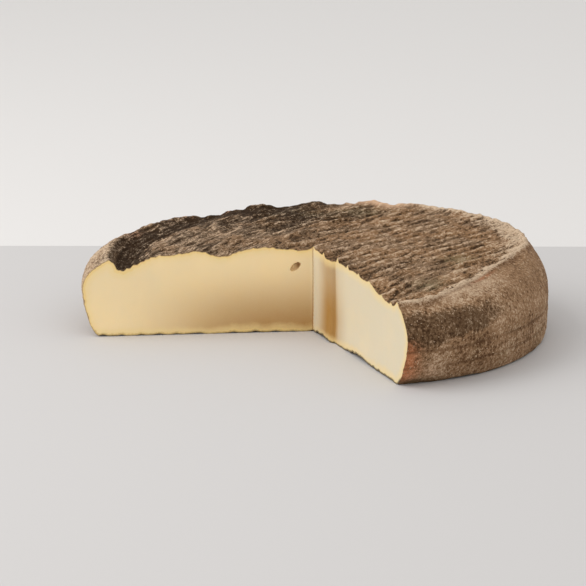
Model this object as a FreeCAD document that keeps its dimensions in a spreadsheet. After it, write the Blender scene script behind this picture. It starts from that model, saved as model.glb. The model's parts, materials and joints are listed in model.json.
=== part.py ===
import FreeCAD
import Part
import math
import os

import Sketcher

from FreeCAD import Placement, Rotation, Vector
from functools import partial

# A wheel of Saint-Nectaire cheese with a sector of a little over a quarter cut out of it.
# Millimetres and degrees. The wheel lies flat on z = 0. Azimuths turn from +X towards +Y about the
# wheel's own axis, and the two knife cuts meet on that axis. The cheese is one piece, so it is one
# solid: an uneven skin of rind (RindSkin) is the base of a PartDesign body, which the knife then
# cuts (MissingSector) and in which one eye stands open (CutEye).

SIZES = [
    # the wheel
    ("wheel_radius", 106.0, "mean radius at the belly of the side"),
    ("wheel_height", 39.0, "height at the middle"),
    ("belly_share", 0.55, "height of the widest part of the side, as a share of the height"),
    ("shoulder_inset", 11.5, "how far the shoulder lies inside the belly"),
    ("shoulder_relief", 3.0, "how much less that is where the shoulder stands fullest"),
    ("full_azimuth", 30.0, "direction in which the shoulder stands fullest"),
    ("full_reach", 42.0, "angle over which the full stretch fades"),
    ("foot_inset", 5.5, "how far the foot lies inside the belly"),
    ("steep_relief", 5.0, "how much less that is where the side stands steepest"),
    ("steep_azimuth", 2.0, "direction in which the side stands steepest"),
    ("steep_reach", 45.0, "angle over which the steep stretch fades"),
    ("tuck_inset", 5.2, "how much further in the foot lies beside the second cut"),
    ("tuck_azimuth", -76.0, "direction in which the foot lies furthest in"),
    ("tuck_reach", 24.0, "angle over which that fades"),
    ("toe_inset", 1.5, "how far the last of the side rounds in under the foot"),
    ("outline_shift", 1.0, "how far the outline's middle lies off the axis where the cuts meet"),
    ("shift_azimuth", 20.0, "direction in which it lies off the axis"),
    ("oval_swing", 0.6, "how far the outline is from round: two broad lobes"),
    ("oval_azimuth", -66.0, "direction of the longer diameter"),
    ("dent_swing", 0.6, "five shallow hand-made lobes of the outline"),
    ("dent_azimuth", 20.0, "direction of one of those lobes"),
    # how the shoulder rounds over
    ("crisp_shoulder", 1.8, "power of the shoulder's curve where it is a crease"),
    ("soft_shoulder", 2.5, "power of the shoulder's curve where it is round"),
    ("soft_azimuth", 165.0, "direction in which the shoulder is roundest"),
    ("side_fall", 1.7, "power of the curve from belly to foot"),
    ("toe_fall", 8.0, "power of the tighter curve of the toe"),
    # the sagged top
    ("rim_sag", 1.9, "mean drop from the middle to the shoulder"),
    ("sag_tilt", 2.8, "one-sided part of that drop"),
    ("sag_high_azimuth", 15.0, "direction in which the shoulder stands highest"),
    ("sag_twist", 1.0, "two-sided part of that drop"),
    ("sag_twist_azimuth", 120.0, "direction of the twist's low side"),
    # the furrow inside the rim, and the rim's lip
    ("furrow_depth", 6.4, "depth of the furrow at its deepest"),
    ("furrow_inset", 4.0, "from the shoulder in to the furrow's outer wall"),
    ("furrow_span", 15.0, "width of the furrow, from its outer wall to its inner slope"),
    ("furrow_inner_width", 3.6, "half width of the inner slope"),
    ("furrow_outer_width", 1.6, "half width of the steep outer wall"),
    ("furrow_azimuth", 193.0, "direction of its deepest point"),
    ("furrow_reach", 34.0, "angle over which it fades"),
    ("lip_height", 1.5, "how far the lip of the rim stands up"),
    ("lip_width", 3.0, "half width of the lip"),
    ("lip_azimuth", 160.0, "direction in the middle of the lip"),
    ("lip_reach", 62.0, "angle over which the lip fades"),
    # the folds and dents of the top
    ("fold_height", 0.95, "half the height of the folds"),
    ("fold_spacing", 24.0, "from one fold to the next"),
    ("fold_azimuth", 63.0, "direction in which the folds run"),
    ("fold_shift", 6.0, "from the axis to the first fold"),
    ("ledge_depth", 3.2, "drop of the sunken strip inside the crisp shoulder"),
    ("ledge_inset", 24.0, "from the shoulder in to the strip's inner edge"),
    ("ledge_width", 6.5, "half width of the slope down to the strip"),
    ("ledge_azimuth", -74.0, "direction in the middle of the strip"),
    ("ledge_reach", 26.0, "angle over which the strip fades"),
    ("cleft_depth", 2.8, "depth of the dent beside the first cut"),
    ("cleft_width", 5.5, "half width of that dent"),
    ("cleft_distance", 43.0, "from the axis to that dent"),
    # the knife
    ("first_cut", 186.0, "azimuth of the straight cut"),
    ("second_cut", 290.0, "azimuth of the other cut near the axis"),
    ("step_distance", 19.7, "along the second cut to where the knife slipped"),
    ("step_length", 4.2, "length of the slip"),
    ("step_turn", 26.5, "how far the slip turns outwards"),
    ("last_turn", 1.4, "how far the rest of the second cut turns outwards"),
    ("knife_overrun", 25.0, "how far the cuts run on past the side"),
    # the eye in the first cut
    ("eye_length", 5.6, "length of the eye"),
    ("eye_width", 3.0, "width of the eye"),
    ("eye_depth", 3.2, "how deep the eye goes into the paste"),
    ("eye_distance", 8.0, "from the axis to the eye"),
    ("eye_drop", 8.8, "how far the eye's middle lies below the wheel's height"),
    ("eye_lean", 38.0, "how steeply the eye slants"),
]

NODE = "cheese_wheel"

# The grid of points that the skin runs through.
POLE_OFFSET = 14.0  # the skin's rows start round a pole in the missing sector, off the axis
POLE_RADIUS = 3.0
SECTOR_MARGIN = 6.0  # degrees by which the skin runs past the cuts
SECTION_COUNT = 64
TOP_ROWS = 24
RIM_CROWDING = 0.35  # how much closer the rows lie near the shoulder
SHOULDER_STEPS = (0.93, 0.84, 0.68, 0.48, 0.24)  # share of the way from belly up to shoulder
FOOT_STEPS = (0.0, 0.25, 0.5, 0.72, 0.86, 0.95, 1.0)  # share of the way from belly down to foot
LOBES = 5
RAY_PASSES = 4
FURROW_FILL = 0.45  # how much shallower the furrow is at its inner end


def add_sizes(doc):
    """Writes the driving dimensions into a spreadsheet, one alias to a row."""
    sheet = doc.addObject("Spreadsheet::Sheet", "Sizes")
    for row, (alias, value, meaning) in enumerate(SIZES, start=1):
        sheet.set(f"A{row}", alias)
        sheet.set(f"B{row}", str(value))
        sheet.set(f"C{row}", meaning)
        sheet.setAlias(f"B{row}", alias)
    doc.recompute()
    return sheet


def cosine(degrees):
    return math.cos(math.radians(degrees))


def sine(degrees):
    return math.sin(math.radians(degrees))


def angle_between(first, second):
    """The difference of two azimuths, from -180 to 180 degrees."""
    return (first - second + 180.0) % 360.0 - 180.0


def bell(distance, width):
    """A smooth bump, 1 at its middle and near 0 two widths away."""
    return math.exp(-((distance / width) ** 2))


def step_up(distance, width):
    """A smooth step from 0 to 1 across twice the width."""
    return 0.5 + 0.5 * math.tanh(distance / width)


class Wheel:
    """The shape of the whole wheel before it is cut, from the sizes in the sheet."""

    def __init__(self, sheet):
        for alias, _value, _meaning in SIZES:
            setattr(self, alias, float(sheet.get(alias)))
        self.belly_height = self.wheel_height * self.belly_share

    def belly_radius(self, azimuth):
        """Radius of the slightly uneven outline at the widest part of the side."""
        shift = self.outline_shift * cosine(azimuth - self.shift_azimuth)
        oval = self.oval_swing * cosine(2 * (azimuth - self.oval_azimuth))
        dents = self.dent_swing * cosine(LOBES * (azimuth - self.dent_azimuth))
        return self.wheel_radius + shift + oval + dents

    def rim_inset(self, azimuth):
        """How far the shoulder lies inside the belly."""
        fullness = bell(angle_between(azimuth, self.full_azimuth), self.full_reach)
        return self.shoulder_inset - self.shoulder_relief * fullness

    def shoulder_radius(self, azimuth):
        return self.belly_radius(azimuth) - self.rim_inset(azimuth)

    def top_height(self, x, y):
        """Height of the top above the point x, y."""
        radius = math.hypot(x, y)
        azimuth = azimuth_of(Vector(x, y, 0))
        inset = self.shoulder_radius(azimuth) - radius
        height = self.wheel_height - self.sag(radius, azimuth)
        height += self.folds(x, y) - self.cleft(x, y)
        height -= self.furrow(inset, azimuth) + self.ledge(inset, azimuth)
        return height + self.lip(inset, azimuth)

    def sag(self, radius, azimuth):
        share = radius / self.shoulder_radius(azimuth)
        tilt = self.sag_tilt * cosine(azimuth - self.sag_high_azimuth)
        twist = self.sag_twist * cosine(2 * (azimuth - self.sag_twist_azimuth))
        return (self.rim_sag - tilt + twist) * share**3

    def folds(self, x, y):
        """Broad folds that run across the top and are strongest away from the crisp shoulder."""
        across = x * sine(self.fold_azimuth) - y * cosine(self.fold_azimuth)
        phase = 360.0 * (across - self.fold_shift) / self.fold_spacing
        strength = step_up(-across, self.fold_spacing)
        return self.fold_height * strength * cosine(phase)

    def furrow(self, inset, azimuth):
        """The furrow pressed into the top just inside the rim."""
        distance = inset - self.furrow_inset
        fade = bell(angle_between(azimuth, self.furrow_azimuth), self.furrow_reach)
        outer = step_up(distance, self.furrow_outer_width)
        inner = step_up(self.furrow_span - distance, self.furrow_inner_width)
        fill = 1 - FURROW_FILL * distance / self.furrow_span
        return self.furrow_depth * fade * inner * outer * fill

    def lip(self, inset, azimuth):
        fade = bell(angle_between(azimuth, self.lip_azimuth), self.lip_reach)
        return self.lip_height * fade * bell(inset, self.lip_width)

    def ledge(self, inset, azimuth):
        """The strip inside the crisp shoulder that has sunk below the rest of the top."""
        fade = bell(angle_between(azimuth, self.ledge_azimuth), self.ledge_reach)
        inner = step_up(self.ledge_inset - inset, self.ledge_width)
        outer = step_up(inset - self.lip_width, self.lip_width)
        return self.ledge_depth * fade * inner * outer

    def cleft(self, x, y):
        middle = Vector(cosine(self.first_cut), sine(self.first_cut), 0) * self.cleft_distance
        distance = math.hypot(x - middle.x, y - middle.y)
        return self.cleft_depth * bell(distance, self.cleft_width)

    def shoulder_power(self, azimuth):
        """How full the curve of the shoulder is, from a crease to a round edge."""
        softness = 0.5 + 0.5 * cosine(azimuth - self.soft_azimuth)
        return self.crisp_shoulder + (self.soft_shoulder - self.crisp_shoulder) * softness

    def shoulder_curve(self, share, azimuth):
        """Inset of the side at a share of the way from the belly up to the shoulder."""
        return self.rim_inset(azimuth) * share ** self.shoulder_power(azimuth)

    def foot_curve(self, share, azimuth):
        """Inset of the side at a share of the way from the belly down to the floor."""
        steepness = bell(angle_between(azimuth, self.steep_azimuth), self.steep_reach)
        tuck = bell(angle_between(azimuth, self.tuck_azimuth), self.tuck_reach)
        lean = self.foot_inset - self.steep_relief * steepness + self.tuck_inset * tuck
        return lean * share**self.side_fall + self.toe_inset * share**self.toe_fall


def azimuth_of(point):
    return math.degrees(math.atan2(point.y, point.x))


def point_on_ray(wheel, pole, ray, inset_at):
    """Where a level ray from the pole meets the outline inset by inset_at(azimuth)."""
    along = pole.dot(ray)
    point = pole + ray * wheel.wheel_radius
    for _ in range(RAY_PASSES):
        azimuth = azimuth_of(point)
        radius = wheel.belly_radius(azimuth) - inset_at(azimuth)
        reach = -along + math.sqrt(radius**2 - pole.dot(pole) + along**2)
        point = pole + ray * reach
    return point


def half_section(wheel, pole, azimuth):
    """Points of the skin in the half plane at this azimuth: over the top, then down the side."""
    ray = Vector(cosine(azimuth), sine(azimuth), 0)
    shoulder = point_on_ray(wheel, pole, ray, wheel.rim_inset).distanceToPoint(pole)
    points = []
    for row in range(TOP_ROWS + 1):
        share = row / TOP_ROWS
        share *= 1 + RIM_CROWDING * (1 - share)
        point = pole + ray * (POLE_RADIUS + share * (shoulder - POLE_RADIUS))
        point.z = wheel.top_height(point.x, point.y)
        points.append(point)
    rim_height = points[-1].z
    for share in SHOULDER_STEPS:
        point = point_on_ray(wheel, pole, ray, partial(wheel.shoulder_curve, share))
        point.z = wheel.belly_height + share * (rim_height - wheel.belly_height)
        points.append(point)
    for share in FOOT_STEPS:
        point = point_on_ray(wheel, pole, ray, partial(wheel.foot_curve, share))
        point.z = wheel.belly_height * (1 - share)
        points.append(point)
    return points


def curve_through(points):
    curve = Part.BSplineCurve()
    curve.interpolate(points)
    return curve.toShape()


def skin_solid(wheel):
    """The uncut side of the wheel as one solid, closed off inside the missing sector."""
    middle = 0.5 * (wheel.first_cut + wheel.second_cut + wheel.last_turn)
    pole = Vector(cosine(middle), sine(middle), 0) * POLE_OFFSET
    ends = []
    for cut in (wheel.second_cut + wheel.last_turn - 360.0, wheel.first_cut):
        corner = Vector(cosine(cut), sine(cut), 0) * wheel.wheel_radius
        ends.append(azimuth_of(corner - pole))
    start = ends[0] - SECTOR_MARGIN
    sweep = (ends[1] - ends[0]) % 360.0 + 2 * SECTOR_MARGIN
    grid = []
    for section in range(SECTION_COUNT):
        azimuth = start + sweep * section / (SECTION_COUNT - 1)
        grid.append(half_section(wheel, pole, azimuth))

    skin = Part.BSplineSurface()
    skin.interpolate(grid)
    skin_face = skin.toShape()
    u_first, u_last, v_first, v_last = skin.bounds()
    top_ring = skin.vIso(v_first).toShape()
    foot_ring = skin.vIso(v_last).toShape()
    start_edge = skin.uIso(u_first).toShape()
    end_edge = skin.uIso(u_last).toShape()

    floor_ring = curve_through([Vector(row[0].x, row[0].y, 0) for row in grid])
    walls = []
    floor_lines = []
    for row, edge in ((grid[0], start_edge), (grid[-1], end_edge)):
        foot = Vector(row[0].x, row[0].y, 0)
        rise = Part.makeLine(foot, row[0])
        floor_line = Part.makeLine(foot, row[-1])
        walls.append(Part.Face(Part.Wire(Part.__sortEdges__([rise, edge, floor_line]))))
        floor_lines.append(floor_line)
    floor = Part.Face(Part.Wire(Part.__sortEdges__([foot_ring, floor_ring] + floor_lines)))
    inner = Part.makeRuledSurface(floor_ring, top_ring)

    shell = Part.Shell([skin_face, floor, inner] + walls)
    shell.sewShape()
    solid = Part.Solid(shell)
    if solid.Volume < 0:
        solid.reverse()
    return solid


def add_skin(doc, wheel):
    """Neither a PartDesign feature nor a Part primitive is this uneven, so the shape is set."""
    skin = doc.addObject("Part::Feature", "RindSkin")
    skin.Label = "Rind skin"
    skin.Shape = skin_solid(wheel)
    return skin


def add_body(doc, skin):
    """The body whose base is the skin, and which the knife and the eye then cut."""
    body = doc.addObject("PartDesign::Body", "CheeseWheel")
    body.Label = NODE
    body.BaseFeature = skin
    doc.recompute()
    return body


def plane_of(body, role):
    return [feature for feature in body.Origin.OriginFeatures if feature.Role == role][0]


def polar(distance, azimuth, start=("0", "0")):
    """Rules for the point that far from a start in a direction, from rules for all three."""
    turns = zip(start, ("cos", "sin"))
    return tuple(f"{origin} + ({distance}) * {turn}({azimuth})" for origin, turn in turns)


def pin(sketch, edge, end, name, place):
    """Holds one end of a sketch's edge at a place given by two rules on the sheet's cells."""
    for kind, rule in zip(("DistanceX", "DistanceY"), place):
        label = f"{name}_{kind[-1].lower()}"
        value = float(sketch.evalExpression(rule))
        index = sketch.addConstraint(Sketcher.Constraint(kind, -1, 1, edge, end, value))
        sketch.renameConstraint(index, label)
        sketch.setExpression(f"Constraints.{label}", rule)


def tangent_arc(start, heading, end):
    """An arc from start to end that sets out in the direction of heading."""
    chord = end - start
    across = Vector(-heading.y, heading.x, 0).normalize()
    centre = start + across * (chord.dot(chord) / (2 * chord.dot(across)))
    half_turn = heading.getAngle(chord)
    spoke = start - centre
    axis = heading.cross(chord)
    middle = centre + Rotation(axis, math.degrees(half_turn)).multVec(spoke)
    return Part.Arc(start, middle, end)


def add_sector_outline(body):
    """The missing sector: one straight cut, and one in which the knife slipped outwards."""
    first = "Sizes.first_cut"
    last = "(Sizes.second_cut + Sizes.last_turn)"
    half_angle = f"(({last} - {first}) / 2)"
    reach = "(Sizes.wheel_radius + Sizes.knife_overrun)"
    slip_start = polar("Sizes.step_distance", "Sizes.second_cut")
    slip_end = polar("Sizes.step_length", "(Sizes.second_cut + Sizes.step_turn)", slip_start)
    rules = {
        "first_end": polar(reach, first),
        "far_corner": polar(f"{reach} / cos({half_angle})", f"({first} + {half_angle})"),
        "last_end": polar(reach, last, slip_end),
        "slip_end": slip_end,
        "slip_start": slip_start,
    }
    sketch = body.newObject("Sketcher::SketchObject", "SectorOutline")
    sketch.AttachmentSupport = (plane_of(body, "XY_Plane"), [""])
    sketch.MapMode = "FlatFace"
    names = list(rules)
    corners = [Vector(*[float(sketch.evalExpression(r)) for r in rules[n]], 0) for n in names]
    axis = Vector(0, 0, 0)
    starts = [axis] + corners
    ends = corners + [axis]
    slip = names.index("slip_start")
    for edge, (start, end) in enumerate(zip(starts, ends)):
        if edge == slip:
            sketch.addGeometry(tangent_arc(end, end - axis, start), False)
        else:
            sketch.addGeometry(Part.LineSegment(start, end), False)
    # A line runs from its end 1 to its end 2. The slip's arc runs from its own start at slip_start.
    arc_ends = {1: 2, 2: 1}
    sketch.addConstraint(Sketcher.Constraint("Coincident", 0, 1, -1, 1))
    for edge, name in enumerate(names):
        joined = "Tangent" if edge == slip else "Coincident"
        here = arc_ends[2] if edge == slip else 2
        there = arc_ends[1] if edge + 1 == slip else 1
        sketch.addConstraint(Sketcher.Constraint(joined, edge, here, edge + 1, there))
        pin(sketch, edge, here, name, rules[name])
    sketch.addConstraint(Sketcher.Constraint("Coincident", len(names), 2, -1, 1))
    return sketch


def add_missing_sector(doc, body):
    """Takes the sector out of the wheel, right through and to both sides of the floor plane."""
    sector = body.newObject("PartDesign::Pocket", "MissingSector")
    sector.Profile = add_sector_outline(body)
    sector.Type = "ThroughAll"
    sector.Midplane = True
    doc.recompute()
    return sector


def add_cut_eye(doc, body):
    """One slanting eye of the paste, opened by the straight cut."""
    eye = body.newObject("PartDesign::SubtractiveEllipsoid", "CutEye")
    eye.setExpression("Radius1", "Sizes.eye_width / 2")
    eye.setExpression("Radius2", "Sizes.eye_length / 2")
    eye.setExpression("Radius3", "Sizes.eye_depth")
    eye.Angle1 = -90
    eye.Angle2 = 90
    eye.Angle3 = 360
    middle = "vector(Sizes.eye_distance * cos(Sizes.first_cut); "
    middle += "Sizes.eye_distance * sin(Sizes.first_cut); "
    middle += "Sizes.wheel_height - Sizes.eye_drop)"
    turn = "rotation(vector(0; 0; 1); Sizes.first_cut) * rotation(vector(0; 1; 0); Sizes.eye_lean)"
    eye.setExpression("Placement", f"placement({middle}; {turn})")
    doc.recompute()
    return eye


def check_document(doc):
    """Stops the build if any object failed."""
    for item in doc.Objects:
        if "Invalid" in item.State or "Error" in item.State:
            raise RuntimeError(f"{item.Name} is {item.State}")


def check_shape(name, shape):
    if shape.isNull() or not shape.isValid() or len(shape.Solids) != 1:
        raise RuntimeError(f"{name} is not one valid solid")


def main():
    doc = FreeCAD.newDocument("SaintNectaire")
    wheel = Wheel(add_sizes(doc))
    skin = add_skin(doc, wheel)
    body = add_body(doc, skin)
    whole_volume = body.Shape.Volume
    add_missing_sector(doc, body)
    if not body.Shape.Volume < whole_volume:
        raise RuntimeError("the sector cut nothing")
    face_count = len(body.Shape.Faces)
    add_cut_eye(doc, body)
    if not len(body.Shape.Faces) > face_count:
        raise RuntimeError("the eye cut nothing")

    # The part's origin is on the floor, under the middle of its outline.
    box = body.Shape.optimalBoundingBox(False)
    body.Placement = Placement(Vector(-box.Center.x, -box.Center.y, -box.ZMin), Rotation())
    doc.recompute()
    check_document(doc)
    check_shape(body.Label, body.Shape)
    os.makedirs("parts", exist_ok=True)
    body.Shape.exportStep(f"parts/{body.Label}.step")


main()
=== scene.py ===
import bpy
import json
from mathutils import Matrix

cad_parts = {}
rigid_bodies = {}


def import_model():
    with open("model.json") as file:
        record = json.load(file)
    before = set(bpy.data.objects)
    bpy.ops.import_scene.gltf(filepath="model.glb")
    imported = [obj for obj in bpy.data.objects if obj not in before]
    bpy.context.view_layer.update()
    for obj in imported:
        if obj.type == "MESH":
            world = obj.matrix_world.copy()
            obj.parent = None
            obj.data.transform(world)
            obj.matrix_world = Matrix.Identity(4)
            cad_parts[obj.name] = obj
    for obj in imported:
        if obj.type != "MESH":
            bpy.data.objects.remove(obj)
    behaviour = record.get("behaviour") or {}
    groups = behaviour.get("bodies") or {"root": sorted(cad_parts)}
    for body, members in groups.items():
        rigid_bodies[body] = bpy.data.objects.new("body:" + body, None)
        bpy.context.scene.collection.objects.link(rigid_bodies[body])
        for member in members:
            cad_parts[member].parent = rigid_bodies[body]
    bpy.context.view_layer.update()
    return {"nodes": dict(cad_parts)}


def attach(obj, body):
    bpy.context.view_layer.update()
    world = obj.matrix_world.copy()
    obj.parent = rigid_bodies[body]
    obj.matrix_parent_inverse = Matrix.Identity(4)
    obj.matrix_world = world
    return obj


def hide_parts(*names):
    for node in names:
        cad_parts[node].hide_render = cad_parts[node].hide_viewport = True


bl_info = {
    "name": "Cut cheese wheel",
    "version": (1, 0, 0),
    "blender": (4, 5, 0),
    "location": "3D View > Sidebar > Cheese",
    "description": "A wrinkled washed-rind cheese wheel with a sector cut out, on a plain stage",
    "category": "Object",
}

import json
import math

import bpy
import numpy as np
from mathutils import Vector, kdtree
from mathutils.bvhtree import BVHTree
from mathutils.geometry import delaunay_2d_cdt

for leftover in list(bpy.data.objects):
    bpy.data.objects.remove(leftover)
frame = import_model()

NODE = "cheese_wheel"
WHEEL = "wheel_of_cheese"
FLECKS = "bloom_flecks"

# All lengths are in metres, and azimuths are degrees about the axis, where the two cuts meet.
# The knife's path is the solid's own.
FIRST_CUT = 186.0
SECOND_CUT = 290.0
STEP_DISTANCE = 0.0197  # along the second cut to where the knife slipped
STEP_LENGTH = 0.0042
STEP_TURN = 26.5
STRAY = 1.4  # how far the second cut turns after the slip
LAST_CUT = SECOND_CUT + STRAY - 360.0
OPEN_MIDDLE = 0.5 * (FIRST_CUT + SECOND_CUT)  # the middle of the sector that was taken out
CUT_REACH = 0.13  # the cuts' plans run past the rim
EYE = np.array([0.0080, 0.0302])  # along the first cut, and up
EYE_ROOM = 0.0045  # half the square that the eye lies in

CREASE = 0.0945  # usual distance of the shoulder from the axis
CREASE_LINE = (  # on the right front: azimuth, and how far out the top runs there
    (-66.0, 0.0985),
    (-58.0, 0.0955),
    (-50.0, 0.0893),
    (-40.0, 0.0874),
    (-28.0, 0.0864),
    (-17.0, 0.0878),
    (-8.0, 0.0915),
    (2.0, 0.0965),
    (8.0, 0.1010),
)
ROLL = 0.27  # how far the shoulder drops outside that line, to its width
LIFTS = (  # where the second cut's foot stands off the floor: distance along it, height, width
    (0.054, 0.0016, 0.010),
    (0.013, 0.0007, 0.007),
)

RIM_RADIUS = 0.105  # turns azimuths into lengths round the side
SIDE_LENGTH = 0.468  # round the side, from one cut to the other
SIDE_HEIGHT = 0.0535  # over the side, from the top to the floor
FAN_DISTANCE = 0.080  # the side's rays fan out from a ring this far from the axis
FAN_HEIGHT = 0.019
FAN_TOP = 48.0
FAN_FOOT = -58.0
ABOVE = 0.1  # rays come down onto the top from here
INSIDE = 0.00005  # rays along a cut run this far inside it
SHARP = 62.0  # degrees between two faces from which their edge is sharp
TALL = 0.0008  # relief that the finish reads as 1
MILLIMETRES = 1000.0

STAGE_REACH = 4.0  # half the floor's width
LIGHT_AIM = (0.0, 0.0, 0.02)
CAMERA_AIM = (-0.0091, 0.0, 0.0179)  # from the foot of the axis


# ---------------------------------------------------------------- numbers on arrays


def unit(azimuth):
    """Level direction of an azimuth, or one row for each of several."""
    turned = np.radians(azimuth)
    return np.stack([np.cos(turned), np.sin(turned)], axis=-1)


def bell(distance, width):
    """1 at no distance, and near 0 at twice the width."""
    return np.exp(-((distance / width) ** 2))


def step_up(distance, width):
    """From 0 well below no distance to 1 well above it."""
    return 0.5 + 0.5 * np.tanh(distance / width)


def smooth(share):
    """From 0 to 1 with level ends."""
    share = np.clip(share, 0.0, 1.0)
    return share * share * (3.0 - 2.0 * share)


def angle_between(first, second):
    """Degrees from the second azimuth to the first, -180 to 180."""
    return (first - second + 180.0) % 360.0 - 180.0


def counted_on(azimuth):
    """Azimuths counted on from the second cut, so that none jumps on the rim."""
    return np.where(azimuth < LAST_CUT - 6.0, azimuth + 360.0, azimuth)


def at_height(plan, height=0.0):
    """Level points or directions as rows of three."""
    return np.column_stack([plan, np.full(len(plan), height)])


def along_and_across(points, azimuth):
    """The points' distances along an azimuth and across it."""
    heading = unit(azimuth)
    along = points[:, :2] @ heading
    across = points[:, 0] * heading[1] - points[:, 1] * heading[0]
    return along, across


class Noise:
    """Smooth seeded noise in space, about -1 to 1, one wave to a unit."""

    def __init__(self, seed):
        random = np.random.default_rng(seed)
        self.order = random.permutation(256)
        slopes = random.normal(size=(256, 3))
        self.slopes = slopes / np.linalg.norm(slopes, axis=1, keepdims=True)

    def __call__(self, points):
        cell = np.floor(points).astype(int)
        offset = points - cell
        fade = offset**3 * (offset * (offset * 6.0 - 15.0) + 10.0)
        total = np.zeros(len(points))
        for corner in np.ndindex(2, 2, 2):
            x, y, z = ((cell + corner) % 256).T
            picked = self.order[(self.order[(self.order[x] + y) % 256] + z) % 256]
            slope = np.sum(self.slopes[picked] * (offset - corner), axis=1)
            weight = np.prod(np.where(corner, fade, 1.0 - fade), axis=1)
            total += weight * slope
        return total * 1.6

    def waves(self, points, size, draw=0.0):
        """Noise with waves this many metres long; another draw is another stretch of it."""
        return self(points / size + draw)

    def rough(self, points, size, draw):
        """Waves of one size with waves of half that size on them."""
        points = points / size + draw
        return self(points) + self(points * 2.0 + 17.0) / 2.0


# ---------------------------------------------------------------- the solid and its cuts


class Solid:
    """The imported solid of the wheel, whose surface is found by rays."""

    def __init__(self, node):
        mesh = node.data
        corners = [vertex.co[:] for vertex in mesh.vertices]
        sides = [tuple(face.vertices) for face in mesh.polygons]
        self.tree = BVHTree.FromPolygons(corners, sides)
        self.normals = np.array([face.normal[:] for face in mesh.polygons])
        self.centres = np.array([face.center[:] for face in mesh.polygons])
        self.areas = np.array([face.area for face in mesh.polygons])
        first, second = unit(FIRST_CUT + 90.0), unit(SECOND_CUT - 90.0)
        offsets = [self.plane_offset(first), self.plane_offset(second)]
        self.axis = np.linalg.solve(np.array([first, second]), offsets)

    def plane_offset(self, facing):
        """How far from the origin the flat face that faces this level direction lies."""
        flat = (self.normals[:, :2] @ facing > 0.99999) & (self.areas > 1e-7)
        if not flat.any():
            raise RuntimeError("the solid has no cut that faces this way")
        return float(np.median(self.centres[flat][:, :2] @ facing))

    def hits(self, starts, ways):
        """Where the rays first meet the surface."""
        found = []
        for start, way in zip(starts, ways):
            place = self.tree.ray_cast(Vector(start), Vector(way))[0]
            if place is None:
                raise RuntimeError(f"a ray from {start} misses the solid")
            found.append(place[:])
        return np.array(found)

    def tops(self, plan):
        """The top of the solid above level points."""
        return self.hits(at_height(plan, ABOVE), np.tile((0.0, 0.0, -1.0), (len(plan), 1)))


class CutPlan:
    """A cut seen from above: a line of points that starts at the axis, measured along itself."""

    def __init__(self, places, outward):
        self.places = np.array(places)
        runs = np.linalg.norm(np.diff(self.places, axis=0), axis=1)
        self.along = np.concatenate([[0.0], np.cumsum(runs)])
        self.outward = outward  # level direction out of the cheese, at the far end
        self.slip = ()  # where the knife's slip starts and ends

    def at(self, along):
        """Level places at distances along the cut."""
        return np.column_stack(
            [np.interp(along, self.along, self.places[:, k]) for k in (0, 1)]
        )

    def outward_at(self, along):
        """Level directions out of the cheese at distances along the cut."""
        step = 1e-5
        heading = self.at(along + step) - self.at(along - step)
        heading /= np.linalg.norm(heading, axis=1, keepdims=True)
        sideways = np.column_stack([heading[:, 1], -heading[:, 0]])
        return sideways * np.sign(sideways[-1] @ self.outward)

    def distance_to(self, place):
        """How far along the cut the spot nearest to a level place is."""
        best, found = 1.0, 0.0
        for start, end, run in zip(self.places[:-1], self.places[1:], self.along):
            heading = end - start
            length = np.linalg.norm(heading)
            share = np.clip((place - start) @ heading / length**2, 0.0, 1.0)
            away = np.linalg.norm(start + share * heading - place)
            if away < best - 1e-9:
                best, found = away, run + share * length
        return found

    def slip_points(self):
        """Close upright rows of points where the knife slipped, and beside both its ends."""
        start, end = self.slip
        rows = [*np.linspace(start, end, 9), start - 0.0009, end + 0.0009]
        heights = np.arange(0.0006, 0.043, 0.0011)
        return np.array([[along, height] for along in rows for height in heights])


def cut_plans(axis):
    """The straight first cut, and the second one with the knife's slip in it."""
    first = CutPlan([axis, axis + CUT_REACH * unit(FIRST_CUT)], unit(FIRST_CUT + 90.0))
    start = axis + STEP_DISTANCE * unit(SECOND_CUT)
    end = start + STEP_LENGTH * unit(SECOND_CUT + STEP_TURN)
    bend = STEP_LENGTH / (2.0 * math.sin(math.radians(STEP_TURN)))
    centre = start + bend * unit(SECOND_CUT + 90.0)
    turns = SECOND_CUT - 90.0 + np.linspace(0.0, 2.0 * STEP_TURN, 12)
    slip = centre + bend * unit(turns)
    second = CutPlan([axis, *slip, end + CUT_REACH * unit(LAST_CUT)], unit(LAST_CUT - 90.0))
    second.slip = (second.along[1], second.along[len(turns)])
    second.end = end
    return first, second


# ---------------------------------------------------------------- the low relief of the rind


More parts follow.
